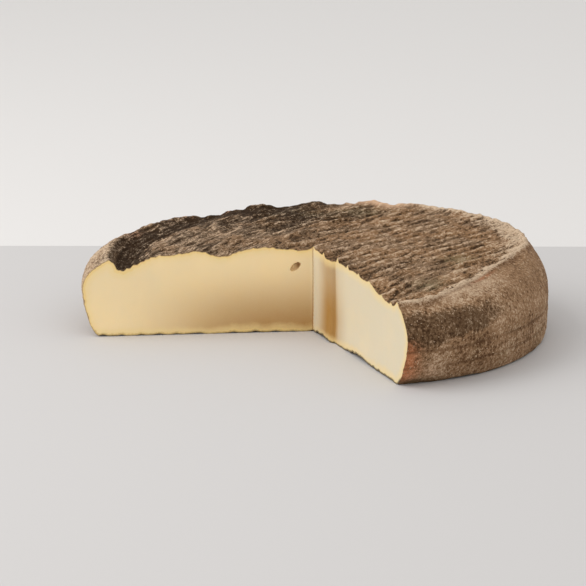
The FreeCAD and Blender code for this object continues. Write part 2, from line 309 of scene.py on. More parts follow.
class Relief:
    """How far the wrinkled rind stands out from the smooth solid, in metres.

    A form's factor is its height. The number after a distance in bell and step_up is a width,
    and waves and strands take their sizes and then their draw.
    """

    def __init__(self, sizes):
        self.sizes = sizes
        self.noise = Noise(sizes.seed)
        self.waves = self.noise.waves

    def strands(self, points, azimuth, width, length, draw):
        """Crests and creases drawn out along an azimuth, wandering a little, from -1 to 1."""
        along, across = along_and_across(points, azimuth)
        across = across + 0.0011 * self.waves(points, 0.009, draw)
        across = across + 0.0004 * self.waves(points, 0.0035, draw)
        drawn = np.column_stack([across / width, along / length, points[:, 2] / width + draw])
        return 0.75 - 2.6 * np.abs(self.noise(drawn))

    def mat(self, points, paired=0.0):
        """Broken lines of the drying mat, steeper on one side; paired lowers every second one."""
        along, across = along_and_across(points, self.sizes.mat_azimuth)
        across = across + 0.0022 * self.waves(points, 0.021)
        across = across + 0.0008 * self.waves(points, 0.006)
        turn = 2.0 * np.pi * across / self.sizes.mat_pitch
        wave = 0.5 + 0.5 * np.cos(turn + 0.45 * np.sin(turn))
        wave = wave * (1.0 - paired * (0.5 - 0.5 * np.cos(0.5 * turn)))
        drawn = np.column_stack([across / 0.007, along / 0.022, points[:, 2] / 0.007 + 5.0])
        return (wave**1.4 - 0.45) * (0.85 + 0.75 * self.noise(drawn))

    def top(self, points, place):
        """Lines of the drying mat, creases along them and fine wrinkles."""
        sizes = self.sizes
        right = step_up(points[:, 0] + 0.012, 0.020)
        inner = step_up(place["inset"] - 0.009, 0.006)
        front = bell(angle_between(place["azimuth"], -15.0), 42.0)
        by_cut = bell(place["from_cut"], 0.007) * step_up(place["inset"], 0.003)
        # Calmer near the rim than further in, but not at the front or beside the second cut.
        lively = np.maximum(0.42 + 0.58 * inner, np.maximum(0.85 * front, by_cut))
        mat = self.mat(points, by_cut) * (0.25 + 0.75 * right + 0.9 * by_cut) * lively
        folded = self.strands(points, 64.0, 0.0031, 0.019, 3.0)
        drawn = self.strands(points, sizes.mat_azimuth, 0.0025, 0.0120, 9.0)
        strands = folded * (1.0 - right) * 1.25 + drawn * right
        wrinkle = 0.5 - 2.2 * np.abs(self.waves(points, 0.0027, 31.0))
        return (
            sizes.mat_depth * mat
            + sizes.crease_depth * (strands + 0.40 * wrinkle) * (lively - 0.65 * by_cut)
            + 0.00040 * self.waves(points, 0.0105, 3.0)
            + 0.00012 * self.waves(points, 0.0014)
        )

    def furrow(self, points, place):
        """The ripples in the furrow, and fine wrinkles across its lip."""
        round_rim = place["rolled"][:, 0] / 0.0022
        rolled = np.column_stack([round_rim, place["reach"] / 0.008, points[:, 2] / 0.01])
        return 0.00045 * place["ripples"] + place["lip"] * 0.00016 * self.noise(rolled)

    def ripples(self, points, place):
        """Ripples that follow the rim, from -1 to 1 in the furrow and 0 outside it."""
        spread = place["reach"] + 0.0009 * self.waves(points, 0.008, 21.0)
        return place["furrow"] * np.cos(2.0 * np.pi * spread / 0.0029)

    def side(self, points, place):
        """Fine upright wrinkles, shallow dents and the level marks."""
        rolled = place["rolled"]
        dents = self.waves(points, 0.013, 7.0) + 0.5 * self.waves(points, 0.006)
        upright = self.waves(rolled, (0.0012, 0.0040, 1.0))
        upright = upright + 0.6 * self.waves(rolled, (0.0026, 0.0075, 1.0), 4.0)
        return (
            0.00030 * dents
            + self.sizes.wrinkle_depth * upright
            - 0.00040 * place["marks"]
            + 0.00014 * self.noise.rough(points, 0.0021, 0.0)
        )

    def level_marks(self, rolled):
        """Two broken level lines of the mould's cloth round the lower side, from 0 to about 1."""
        level = rolled[:, 1] - 0.0163 - 0.0014 * self.waves(rolled, 0.035, 2.0)
        marks = bell(level, 0.0007) + 0.8 * bell(level + 0.0078, 0.0006)
        return marks * step_up(self.waves(rolled, 0.016, 6.0) + 0.30, 0.22)

    def rim(self, points, place):
        """Lumps on the back left rim, and a raised line and a groove along the crease."""
        lumpy = bell(angle_between(place["azimuth"], 125.0), 50.0) * bell(place["inset"], 0.008)
        lumps = self.waves(points, 0.0072, 11.0) + 0.6 * self.waves(points, 0.0033, 5.0)
        broken = 0.75 + 0.5 * self.waves(points, 0.006, 15.0)
        edge = 0.00065 * place["crease"] - 0.00030 * place["groove"]
        wander = place["right"] * bell(place["edge"], 0.003) * self.waves(points, 0.0065, 25.0)
        return 0.0011 * lumpy * lumps + edge * broken + 0.0006 * wander

    def under(self, points, second):
        """How far the underside stands off the floor, most beside the second cut."""
        raised = np.clip(self.waves(points, 0.017, 40.0) + 0.15, 0.0, 1.0)
        lift = 0.0006 * raised + 0.0007 * (self.mat(points) + 0.45) * step_up(raised - 0.1, 0.2)
        for distance, height, width in LIFTS:
            spot = second.at([distance])[0] - second.places[0]
            away = np.hypot(points[:, 0] - spot[0], points[:, 1] - spot[1])
            lift = lift + height * bell(away, width)
        return lift


# ---------------------------------------------------------------- flat patterns and normals


def fill(outline, inside):
    """Triangles over a flat outline and the points inside it, counter-clockwise.

    They are made in millimetres, which suit the tolerance of the triangulation.
    """
    flat = np.vstack([outline, inside])
    points = [Vector(place) for place in flat * MILLIMETRES]
    loop = list(range(len(outline)))
    made = delaunay_2d_cdt(points, [], [loop], 0, 1e-7, True)
    origins = made[3]
    if any(not origin for origin in origins):
        raise RuntimeError("an outline crosses itself")
    picked = np.array([origin[0] for origin in origins])
    corners = picked[np.array(made[2])]
    kept = within(flat[corners].mean(axis=1), outline)
    return corners[kept].tolist()


def hexagonal(low, high, pitch):
    """Points in a close even pattern over a rectangle."""
    rows = np.arange(low[1], high[1], pitch * math.sqrt(0.75))
    columns = np.arange(low[0], high[0], pitch)
    across, up = np.meshgrid(columns, rows)
    across = across + 0.5 * pitch * (np.arange(len(rows)) % 2)[:, None]
    return np.column_stack([across.ravel(), up.ravel()])


def within(points, outline):
    """Which points lie inside a closed outline."""
    inside = np.zeros(len(points), dtype=bool)
    for (x, y), (next_x, next_y) in zip(outline, np.roll(outline, -1, axis=0)):
        if y != next_y:
            spans = (points[:, 1] < y) != (points[:, 1] < next_y)
            crossing = x + (points[:, 1] - y) * (next_x - x) / (next_y - y)
            inside ^= spans & (points[:, 0] < crossing)
    return inside


def distances(points, outline):
    """How far each point is from the nearest point of an outline."""
    tree = kdtree.KDTree(len(outline))
    for index, (x, y) in enumerate(outline):
        tree.insert((x, y, 0.0), index)
    tree.balance()
    return np.array([tree.find((x, y, 0.0))[2] for x, y in points])


def clear_of(points, outline, gap):
    """The points that lie further than the gap from an outline's points."""
    return points[distances(points, outline) > gap]


def vertex_normals(places, faces):
    """Normals of the vertices, from the triangles or quads round them."""
    total = np.zeros_like(places)
    for size in (3, 4):
        group = np.array([face for face in faces if len(face) == size])
        if len(group):
            one, two, three, four = (places[group[:, k % size]] for k in range(4))
            facing = np.cross(three - one, four - two)
            for corner in range(size):
                np.add.at(total, group[:, corner], facing)
    return total / np.maximum(np.linalg.norm(total, axis=1, keepdims=True), 1e-12)


# ---------------------------------------------------------------- building the mesh


class WheelMesh:
    """Gathers the vertices, faces and paint of the wheel."""

    def __init__(self, sizes):
        self.sizes = sizes
        self.solid = Solid(frame["nodes"][NODE])
        self.axis = self.solid.axis
        self.middle = np.append(self.axis, 0.0)
        self.first, self.second = cut_plans(self.axis)
        self.relief = Relief(sizes)
        self.places = np.zeros((0, 3))
        self.faces = []

    def add(self, places):
        """Adds vertices, and returns their numbers."""
        start = len(self.places)
        self.places = np.vstack([self.places, places])
        return np.arange(start, len(self.places))

    def add_faces(self, faces, vertices, turn=1):
        """Adds faces whose corners count along a list of vertices; turn -1 turns them over."""
        for face in faces:
            self.faces.append(tuple(int(vertices[corner]) for corner in face[::turn]))

    def build(self):
        """The smooth rind, then its relief, then the cut faces between its edges."""
        self.add_side()
        self.add_cut_edges()
        self.add_level("top", self.sizes.top_pitch)
        self.add_level("foot", self.sizes.under_pitch)
        self.rind_faces = len(self.faces)
        self.roll_shoulder()
        self.smooth_places = self.places.copy()
        self.wrinkle()
        self.from_rind = np.zeros(len(self.places))
        self.add_spine()
        self.add_cut_face(self.first)
        self.add_cut_face(self.second)

    def add_side(self):
        """A net of points round the side, by rays that fan out from a ring inside the rim."""
        count = round(SIDE_LENGTH / self.sizes.side_pitch)
        rows = round(SIDE_HEIGHT / self.sizes.side_pitch)
        share = np.linspace(0.0, 1.0, count + 1)
        headings = unit(LAST_CUT + share * (FIRST_CUT - LAST_CUT))
        past_axis = self.second.end - self.axis
        past_axis = past_axis - (past_axis @ headings[0]) * headings[0]
        origins = self.axis + past_axis * (1.0 - smooth(share / 0.2))[:, None]
        inward = np.zeros((count + 1, 2))
        inward[0] = -INSIDE * self.second.outward
        inward[-1] = -INSIDE * self.first.outward
        lifts = np.radians(np.linspace(FAN_TOP, FAN_FOOT, rows + 1))
        columns = []
        for origin, heading, aside in zip(origins, headings, inward):
            start = np.append(origin + aside + FAN_DISTANCE * heading, FAN_HEIGHT)
            ways = np.column_stack([np.outer(np.cos(lifts), heading), np.sin(lifts)])
            hits = self.solid.hits([start] * len(ways), ways)
            hits[:, :2] -= aside
            columns.append(self.add(hits))
        self.net = np.array(columns)
        for left, right in zip(columns[:-1], columns[1:]):
            quads = zip(left[:-1], left[1:], right[1:], right[:-1])
            self.faces.extend(tuple(int(corner) for corner in quad) for quad in quads)

    def add_cut_edges(self):
        """Points along the top and bottom edges of both cuts."""
        by_axis = self.axis - 2 * INSIDE * unit(OPEN_MIDDLE)
        self.apex = {"top": self.add(self.solid.tops([by_axis]))[0]}
        self.places[self.apex["top"], :2] = self.axis
        self.apex["foot"] = self.add([self.middle])[0]
        self.edges = {}
        for plan, column in ((self.first, -1), (self.second, 0)):
            for level, row in (("top", 0), ("foot", -1)):
                corner = self.places[self.net[column, row], :2]
                far = plan.along[-1] - np.linalg.norm(corner - plan.places[-1])
                marks = [0.0, *plan.slip, far]
                along = []
                for start, end in zip(marks[:-1], marks[1:]):
                    parts = max(2, round((end - start) / self.sizes.top_pitch))
                    along.extend(np.linspace(start, end, parts + 1)[1:])
                along = np.array(along[:-1])
                places = at_height(plan.at(along))
                if level == "top":
                    aside = INSIDE * plan.outward_at(along)
                    places[:, 2] = self.solid.tops(places[:, :2] - aside)[:, 2]
                self.edges[column, level] = self.add(places)

    def outline(self, level):
        """The vertices round the top or the underside."""
        rim = self.net[:, 0 if level == "top" else -1]
        second, first = self.edges[0, level], self.edges[-1, level]
        return np.concatenate([[self.apex[level]], second, rim, first[::-1]])

    def add_level(self, level, pitch):
        """The top or the underside: an even pattern of points inside its outline."""
        outline = self.outline(level)
        edge = self.places[outline, :2]
        grid = hexagonal(edge.min(axis=0), edge.max(axis=0), pitch)
        dense = np.vstack([edge, 0.5 * (edge + np.roll(edge, -1, axis=0))])
        gap = 0.55 * min(pitch, 0.0012)
        plan = clear_of(grid[within(grid, edge)], dense, gap)
        inside = self.add(self.solid.tops(plan) if level == "top" else at_height(plan))
        vertices = np.concatenate([outline, inside])
        self.add_faces(fill(edge, plan), vertices, 1 if level == "top" else -1)

    def survey(self, points, normals):
        """Where each vertex of the rind lies, in the terms that the relief and the paint use."""
        azimuth = np.degrees(np.arctan2(points[:, 1], points[:, 0]))
        reach = np.hypot(points[:, 0], points[:, 1])
        inset = CREASE - reach
        right = smooth((92.0 - np.abs(angle_between(azimuth, 0.0))) / 30.0)
        left = bell(angle_between(azimuth, 188.0), 40.0)
        edge = self.crease_reach(azimuth)[1] - reach + 0.0007 * self.relief.waves(points, 0.0085)
        outward = np.append(self.second.outward, 0.0)
        lip = left * step_up(-inset + 0.003, 0.002)
        steep = smooth((normals[:, 2] - 0.30) / 0.45) * (1.0 - 0.8 * lip)
        level = np.zeros(len(points))
        place = {
            "azimuth": azimuth,
            "reach": reach,
            "rolled": np.column_stack([np.radians(azimuth) * RIM_RADIUS, points[:, 2], level]),
            "inset": inset,
            "edge": edge,
            "from_cut": (np.append(self.second.end - self.axis, 0.0) - points) @ outward,
            "right": right,
            "top": right * smooth((edge + 0.0012) / 0.0022) + (1.0 - right) * steep,
            "crease": bell(edge - 0.0006, 0.0016) * right,
            "groove": bell(edge + 0.0021, 0.0010) * right,
            "furrow": left * bell(inset - 0.0095, 0.0078),
            "lip": lip,
            "below": smooth((-normals[:, 2] - 0.5) / 0.4),
        }
        place["ripples"] = self.relief.ripples(points, place)
        place["marks"] = self.relief.level_marks(place["rolled"])
        return place

    def roll_shoulder(self):
        """Lowers the right front a little outside the crease, where the wheel is rounder."""
        points = self.places - self.middle
        up = vertex_normals(self.places, self.faces)[:, 2]
        azimuth = np.degrees(np.arctan2(points[:, 1], points[:, 0]))
        reach = np.hypot(points[:, 0], points[:, 1])
        level = (up > 0.93) & (reach > 0.086)
        onward = counted_on(azimuth)
        step = 2.0
        self.crease_azimuths = np.arange(LAST_CUT, FIRST_CUT + 0.5 * step, step)
        ends = []
        for middle in self.crease_azimuths:
            near = level & (np.abs(onward - middle) < 0.75 * step)
            ends.append(reach[near].max() if near.any() else CREASE)
        ends = np.pad(ends, 2, "edge")
        self.crease_ends = np.convolve(ends, (0.1, 0.2, 0.4, 0.2, 0.1), "valid")
        outer, line = self.crease_reach(azimuth)
        width = outer - line
        drop = ROLL * width * smooth((reach - line) / np.maximum(width, 1e-6))
        drop *= 1.0 - smooth((reach - outer) / 0.006)
        self.places[:, 2] -= drop * (points[:, 2] > 0.02)

    def crease_reach(self, azimuth):
        """How far out the solid's top runs before it turns down, and the visible crease."""
        onward = counted_on(azimuth)
        outer = np.interp(onward, self.crease_azimuths, self.crease_ends)
        line = np.interp(onward, *np.transpose(CREASE_LINE), right=1.0)
        return outer, np.minimum(outer, line)

    def wrinkle(self):
        """Moves the rind's vertices out and in by the low relief, those on an edge along it."""
        normals = vertex_normals(self.places, self.faces)
        points = self.places - self.middle
        place = self.place = self.survey(points, normals)
        relief = self.relief
        height = place["top"] * relief.top(points, place)
        height += (1.0 - place["top"]) * relief.side(points, place)
        height += relief.furrow(points, place) + relief.rim(points, place)
        height *= 1.0 - place["below"]
        self.height = height
        for column, plan in ((-1, self.first), (0, self.second)):
            facing = np.append(plan.outward, 0.0)
            upright = self.net[column]
            normals[upright] -= np.outer(normals[upright] @ facing, facing)
        for level, up in (("top", 1.0), ("foot", -1.0)):
            for column in (-1, 0):
                normals[self.edges[column, level]] = (0.0, 0.0, up)
            normals[self.apex[level]] = (0.0, 0.0, up)
        self.places = self.places + normals * height[:, None]
        self.places[:, 2] += place["below"] * relief.under(points, self.second)
        self.places[:, 2] = np.maximum(self.places[:, 2], 0.0)

    def add_spine(self):
        """The upright line of points where the two cut faces meet."""
        low, high = (self.places[self.apex[level], 2] for level in ("foot", "top"))
        count = round((high - low) / self.sizes.cut_pitch)
        heights = np.linspace(low, high, count + 1)[1:-1]
        self.spine = self.add([[*self.axis, height] for height in heights])
        self.from_rind = np.append(self.from_rind, np.minimum(heights - low, high - heights))

    def add_cut_face(self, plan):
        """A cut face between the edges of the rind, flat but for the knife's marks and the eye."""
        first = plan is self.first
        column = -1 if first else 0
        foot, top = self.edges[column, "foot"], self.edges[column, "top"]
        skin = [[self.apex["foot"]], foot, self.net[column][::-1], top[::-1], [self.apex["top"]]]
        loop = np.concatenate([*skin, self.spine[::-1]])
        flat = self.flattened(plan, loop)
        pitch = self.sizes.cut_pitch
        grid = hexagonal(flat.min(axis=0), flat.max(axis=0), pitch)
        if first:
            grid = grid[np.abs(grid - EYE).max(axis=1) > EYE_ROOM + 0.0004]
            close = hexagonal(EYE - EYE_ROOM, EYE + EYE_ROOM, 0.00034)
        else:
            grid = grid[np.abs(grid[:, 0] - sum(plan.slip) / 2) > 0.003]
            close = plan.slip_points()
        wide = clear_of(grid[within(grid, flat)], flat, 0.5 * pitch)
        inside = np.vstack([wide, clear_of(close[within(close, flat)], flat, 0.0003)])
        triangles = fill(flat, inside)
        used = sorted({corner for face in triangles for corner in face if corner >= len(flat)})
        inside = inside[np.array(used) - len(flat)]
        renumber = {old: len(flat) + new for new, old in enumerate(used)}
        triangles = [[renumber.get(corner, corner) for corner in face] for face in triangles]
        depth = distances(inside, flat[: len(flat) - len(self.spine)])
        vertices = np.concatenate([loop, self.add(self.carved(plan, inside, depth))])
        self.from_rind = np.append(self.from_rind, depth)
        self.add_faces(triangles, vertices, -1 if first else 1)

    def flattened(self, plan, loop):
        """A loop's points as distance along the cut and height."""
        places = self.places[loop]
        if plan is self.first:
            along = (places[:, :2] - self.axis) @ unit(FIRST_CUT)
        else:
            along = (places[:, :2] - plan.end) @ unit(LAST_CUT) + plan.slip[1]
            for index in np.flatnonzero(along <= plan.slip[1] + 1e-6):
                along[index] = plan.distance_to(places[index, :2])
        return np.column_stack([along, places[:, 2]])

    def carved(self, plan, flat, depth):
        """Places on a cut, with the knife's marks, the eye, and a slight hollow of the paste."""
        first = plan is self.first
        along, height = flat.T
        places = np.column_stack([plan.at(along), height])
        outward = plan.outward_at(along)
        draws = (np.full(len(flat), 4.0 if first else 3.0), np.full(len(flat), 8.0))
        noise = self.relief.noise
        marks = 0.00010 * noise(np.column_stack([along / 0.011, height / 0.03, draws[0]]))
        marks += 0.00003 * noise(np.column_stack([along / 0.0022, height / 0.012, draws[1]]))
        moved = -0.0003 * smooth(depth / 0.012) + marks * smooth(depth / 0.004)
        if first:
            near = np.abs(flat - EYE).max(axis=1) < EYE_ROOM
            starts = places[near] + 0.01 * at_height(outward[near])
            hits = self.solid.hits(starts, at_height(-outward[near]))
            moved[near] -= np.linalg.norm(hits[:, :2] - places[near, :2], axis=1)
        places[:, :2] += outward * moved[:, None]
        return places

    def bloom(self, dust, band):
        """How thickly the flecks of dry bloom lie, none of them over the edges of the cuts."""
        side = 1.0 - self.place["top"]
        thick = 0.30 + 0.17 * side + 0.30 * np.clip(dust, 0.0, 1.0)
        thick += 0.45 * band * side
        thick *= (1.0 - self.place["below"]) * (self.smooth_places[:, 2] > 0.003)
        for bare in (self.net[0], self.net[-1], *self.edges.values(), list(self.apex.values())):
            thick[bare] = 0.0
        return thick

    def masks(self):
        """How strongly each tint shows at every vertex of the rind, about 0 to 1.

        A sector is given by the azimuth of its middle and its width, a spot by its place from
        the axis, its width and how many times longer it is.
        """
        points = self.smooth_places - self.middle
        noise, waves = self.relief.noise, self.relief.waves
        place = self.place
        azimuth, inset, edge, top = (place[name] for name in ("azimuth", "inset", "edge", "top"))
        side = 1.0 - top
        x, y, z = points.T

        def spot(middle, size, longer=1.0):
            return bell(np.hypot(x - middle[0], (y - middle[1]) / longer), size)

        def sector(middle, half):
            return bell(angle_between(azimuth, middle), half)

        patch = waves(points, 0.016, 50.0)
        broken = 0.8 + 0.6 * waves(points, 0.0045, 60.0)
        uneven = z + 0.0016 * noise.rough(points, 0.0052, 80.0)
        ragged = edge + 0.0036 * noise.rough(points, 0.0065, 70.0)
        leftward = step_up(-x - 0.005, 0.02)
        shoulder = bell(uneven - 0.0360, 0.0034) * side
        hidden = step_up(azimuth - 30.0, 14.0) * (1.0 - place["lip"]) * side
        band_foot = 0.0185 + 0.00031 * (azimuth + 61.0)
        band = step_up(uneven - band_foot, 0.0016) * step_up(0.0322 - uneven, 0.0014)
        band *= step_up(-39.0 - azimuth, 6.0) * (azimuth > -90.0)

        # The furrow's dark is partly its mould, partly painted shade in the hollow.
        mould = 1.80 * place["furrow"] + 0.25 * patch + 0.20 * leftward * top
        mould += 0.26 * spot((-0.006, 0.050), 0.026) * top  # behind the axis
        mould += 0.58 * sector(130.0, 42.0) * bell(inset - 0.007, 0.012)  # back left rim
        mould += 0.55 * step_up(y - 0.045, 0.02) * sector(98.0, 36.0) * top  # back
        by_cut = bell(inset - 0.012, 0.022) * step_up(edge - 0.004, 0.002)
        mould += 0.45 * sector(-66.0, 9.0) * by_cut
        mould += 0.50 * spot((0.054, -0.068), 0.008)  # near the second cut's far end
        mould += side * (1.20 * band + 0.12 * patch * band - 0.05)
        mould += hidden * 0.30 * waves(points, 0.021, 90.0)

        dust = 0.90 * sector(12.0, 24.0) * bell(ragged - 0.0044, 0.0066) * top  # right rim
        fading = 0.80 + 0.20 * step_up(azimuth + 48.0, 12.0)
        dust += 1.7 * place["crease"] * broken * fading * step_up(50.0 - azimuth, 14.0)
        dust += 0.85 * place["lip"]
        dust += 0.45 * sector(52.0, 20.0) * bell(ragged - 0.001, 0.0028)  # back right rim
        dust += 0.12 * patch + 0.28 * bell(z - 0.011, 0.006) * side  # low on the side
        dust += 0.68 * sector(-43.0, 19.0) * shoulder
        dust += hidden * (0.30 * shoulder + 0.22 * patch)

        rust = 1.0 * sector(-69.0, 5.5) * bell(z - 0.011, 0.013)  # beside the second cut
        rust += 0.50 * sector(140.0, 34.0) * bell(inset, 0.006) * (0.7 + patch)  # back left rim
        rust += 0.75 * sector(-33.0, 9.0) * bell(edge + 0.0022, 0.0013)  # under the crease

        moss = spot((0.065, -0.021), 0.010, 1.4) + spot((0.052, -0.060), 0.009, 1.5)
        moss += 0.8 * sector(85.0, 30.0) * bell(inset - 0.018, 0.012) + 0.4 * patch  # back
        moss += 0.45 * side * sector(-25.0, 25.0) * step_up(0.018 - z, 0.006)  # right foot

        return {
            "mould": mould,
            "dust": np.minimum(dust, 0.82),
            "rust": np.minimum(rust, 0.85),
            "moss": moss * 0.8,
            "peach": sector(70.0, 9.0) * bell(edge - 0.001, 0.004),
            "fold": leftward,
            "groove": place["groove"] * broken + 1.1 * place["marks"] * side,
            "side": side,
            # The underside: partly the rind's own darker colour, partly painted shade.
            "under": place["below"],
            "ripple": place["ripples"],
            "calm": sector(-38.0, 24.0) * shoulder,
            "bloom": self.bloom(dust, band),
        }

    def smears(self):
        """Painted shade on the cut paste, and which of the two cuts it is: on the second cut darker
        towards the knife's slip and the bottom, on the first cut darker towards the bottom and the
        apex, and in the eye.
        """
        points = self.places - self.middle
        reach = np.hypot(points[:, 0], points[:, 1])
        height = points[:, 2]
        second = points @ np.append(unit(LAST_CUT), 0.0) > 0.3 * reach
        # Painted shade on the second cut: darker towards the knife's slip, whose turned face is in
        # shade, and towards the bottom.
        slip = self.second.slip[1] - 0.0002
        before = smooth((reach - 0.001) / (slip - 0.005)) * (reach < slip)
        after = 0.40 * (1.0 - smooth((reach - slip) / 0.004))
        after += 0.42 * (1.0 - smooth((reach - slip) / 0.016))
        after *= (reach >= slip) * (0.50 + 0.50 * smooth((0.032 - height) / 0.022))
        right = (before + after) * (0.72 + 0.28 * smooth((0.034 - height) / 0.024))
        # Painted shadow on the first cut, darker towards the bottom and the apex.
        left = smooth((0.034 - height) / 0.034) * (1.0 - smooth((reach - 0.02) / 0.075))
        from_eye, over_eye = reach - EYE[0], height - EYE[1]
        eye = np.hypot(from_eye, over_eye) < 0.0040
        sunk = -(points @ np.append(self.first.outward, 0.0))
        upper = 0.78 * -from_eye + 0.62 * over_eye
        # Painted shade inside the eye, darkest in its upper part.
        hole = np.where(eye & ~second, smooth((sunk - 0.0004) / 0.0012), 0.0)
        hole *= 0.15 + 0.85 * smooth((upper + 0.0012) / 0.0024)
        return {
            # Painted shade of both cuts, mixed towards a darker paste.
            "painted_shade": np.where(second, right, 0.95 * left),
            # Which cut a vertex is on; the first cut is painted warmer as bounce light.
            "on_first_cut": 1.0 - second,
            "hole": hole,
            "apex": np.where(second, 1.0, reach * MILLIMETRES),
            "foot": smooth((0.0045 - height) / 0.002),
        }

    def to_mesh(self, name):
        mesh = bpy.data.meshes.new(name)
        mesh.from_pydata(self.places.tolist(), [], self.faces)
        mesh.validate()
        slots = np.zeros(len(self.faces), dtype=np.int32)
        slots[self.rind_faces :] = 1
        mesh.polygons.foreach_set("material_index", slots)
        mesh.shade_smooth()
        mesh.set_sharp_from_angle(angle=math.radians(SHARP))
        paint = {"relief": self.height / TALL, "from_rind": self.from_rind * MILLIMETRES}
        paint.update(self.masks())
        paint.update(self.smears())
        for label, values in paint.items():
            whole = np.zeros(len(self.places), dtype=np.float32)
            whole[: len(values)] = values
            layer = mesh.attributes.new(label, "FLOAT", "POINT")
            layer.data.foreach_set("value", whole)
        return mesh


# ---------------------------------------------------------------- expressions on sockets


class Wire:
    """A value in a node tree; sums with it add Math nodes."""

    def __init__(self, wiring, socket):
        self.wiring = wiring
        self.socket = socket

    def output(self, name):
        """Another output of the same node."""
        return Wire(self.wiring, self.socket.node.outputs[name])

    def math(self, operation, other, clamp=False):
        settings = {"operation": operation, "use_clamp": clamp}
        return self.wiring.node("ShaderNodeMath", settings, {0: self, 1: other})

    def __add__(self, other):
        return self.math("ADD", other)

    def __mul__(self, other):
        return self.math("MULTIPLY", other)

    def __sub__(self, other):
        return self.math("SUBTRACT", other)

    def __rsub__(self, other):
        return (self * -1.0) + other

    __radd__ = __add__
    __rmul__ = __mul__

    def clamped(self):
        return self.math("ADD", 0.0, clamp=True)

    def ramp(self, low, high):
        """Smoothly from 0 at low to 1 at high."""
        settings = {"interpolation_type": "SMOOTHSTEP"}
        inputs = {0: self, 1: low, 2: high, 3: 0.0, 4: 1.0}
        return self.wiring.node("ShaderNodeMapRange", settings, inputs)


class Wiring:
    """Adds nodes to a tree and links them."""

    def __init__(self, tree):
        self.tree = tree

    def node(self, kind, settings=None, inputs=None, output=0):
        made = self.tree.nodes.new(kind)
        for name, value in (settings or {}).items():
            setattr(made, name, value)
        for key, value in (inputs or {}).items():
            if isinstance(value, Wire):
                self.tree.links.new(value.socket, made.inputs[key])
            else:
                made.inputs[key].default_value = value
        return Wire(self, made.outputs[output]) if made.outputs else None


# ---------------------------------------------------------------- finishes


class Finish(Wiring):
    """Builds one material; its colours are laid in coats, by their names in the settings."""

    def __init__(self, name, colours):
        self.colours = colours
        self.material = bpy.data.materials.new(name)
        self.material.use_nodes = True
        super().__init__(self.material.node_tree)
        self.tree.nodes.clear()

    def attributes(self, *names):
        kind = "ShaderNodeAttribute"
        return [self.node(kind, {"attribute_name": name}, output="Fac") for name in names]

    def coordinates(self, turn=0.0, stretch=None):
        """The object's own coordinates, turned about the upright and then stretched."""
        at = self.node("ShaderNodeTexCoord", output="Object")
        if turn:
            inputs = {"Vector": at, "Rotation": (0.0, 0.0, math.radians(turn))}
            at = self.node("ShaderNodeMapping", None, inputs)
        if stretch:
            at = self.node("ShaderNodeMapping", None, {"Vector": at, "Scale": stretch})
        return at

    def noise(self, size, detail, roughness, at=None, distortion=0.0):
        """Noise whose features are about this many metres across, from 0 to 1."""
        inputs = {
            "Vector": at or self.coordinates(),
            "Scale": 1.0 / size,
            "Detail": detail,
            "Roughness": roughness,
            "Distortion": distortion,
        }
        return self.node("ShaderNodeTexNoise", None, inputs)

    def tint(self, name):
        return (*getattr(self.colours, name), 1.0)

    def mix(self, share, *pair):
        """Two colours mixed, each a wire or a name."""
        first, second = (self.tint(one) if isinstance(one, str) else one for one in pair)
        inputs = {0: share, 6: first, 7: second}
        return self.node("ShaderNodeMix", {"data_type": "RGBA"}, inputs, output=2)

    def coats(self, colour, *coats):
        """A colour under coats of others, each a share and a name."""
        for share, name in coats:
            colour = self.mix(share, colour, name)
        return colour

    def bump(self, height, distance, strength):
        inputs = {"Height": height, "Distance": distance, "Strength": strength}
        return self.node("ShaderNodeBump", None, inputs)

    def surface(self, **inputs):
        """The finished material; an input's name is written with _ for each space."""
        named = {name.replace("_", " "): value for name, value in inputs.items()}
        shader = self.node("ShaderNodeBsdfPrincipled", None, named)
        self.node("ShaderNodeOutputMaterial", None, {"Surface": shader})
        return self.material


